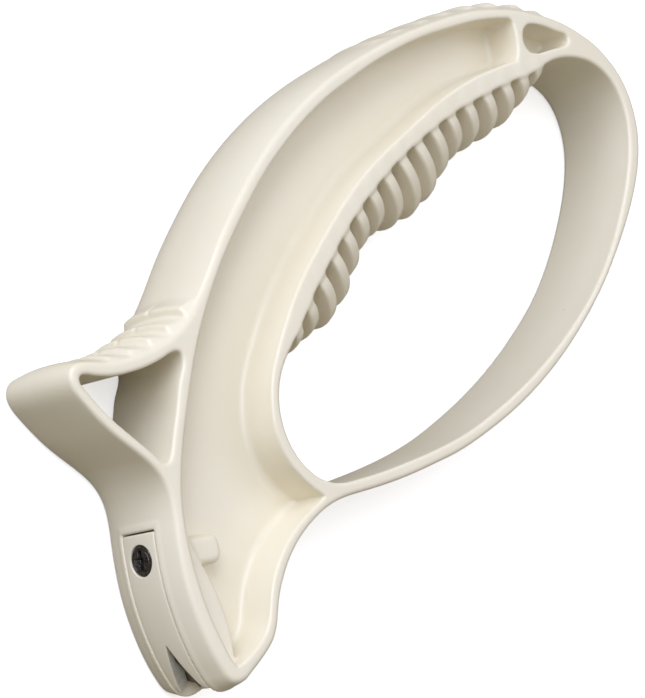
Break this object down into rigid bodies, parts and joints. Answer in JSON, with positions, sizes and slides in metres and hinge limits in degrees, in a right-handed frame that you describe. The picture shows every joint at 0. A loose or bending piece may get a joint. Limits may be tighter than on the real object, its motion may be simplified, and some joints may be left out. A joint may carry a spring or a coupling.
{
  "type": "hand-held V-notch blade sharpener",
  "caption": "Pull-through blade sharpener: moulded handle with finger guard, ribbed grip and thumb rest, and a screwed-in holder at the tip with crossed carbide plates behind a V slot.",
  "frame": {"origin": "centre of the bounding box, on the bottom rim plane that the sharpener lies on", "axes": "+X from the sharpening tip to the butt, +Y to the spine and thumb rest, +Z through the thickness, up"},
  "size_m": [0.1472, 0.0724, 0.016],
  "materials": {
    "handle_plastic": "glossy ivory moulded plastic",
    "holder_plastic": "semi-gloss ivory moulded plastic",
    "carbide": "ground dark grey carbide",
    "black_steel": "black oxide, lightly oiled"
  },
  "bodies": {
    "handle": {"handle_body": "handle_plastic"},
    "holder": {"blade_holder": "holder_plastic", "carbide_front": "carbide", "carbide_rear": "carbide"},
    "screw": {"holder_screw": "black_steel"}
  },
  "joints": [
    {"name": "holder_lift", "type": "slide", "parent": "handle", "child": "holder", "axis": [-0.7901, 0.613, 0], "range_m": [0, 0.022]},
    {"name": "screw_turn", "type": "hinge", "parent": "holder", "child": "screw", "pos_m": [-0.06522, 0.00381, 0.008], "axis": [-0.7901, 0.613, 0], "continuous": true}
  ]
}
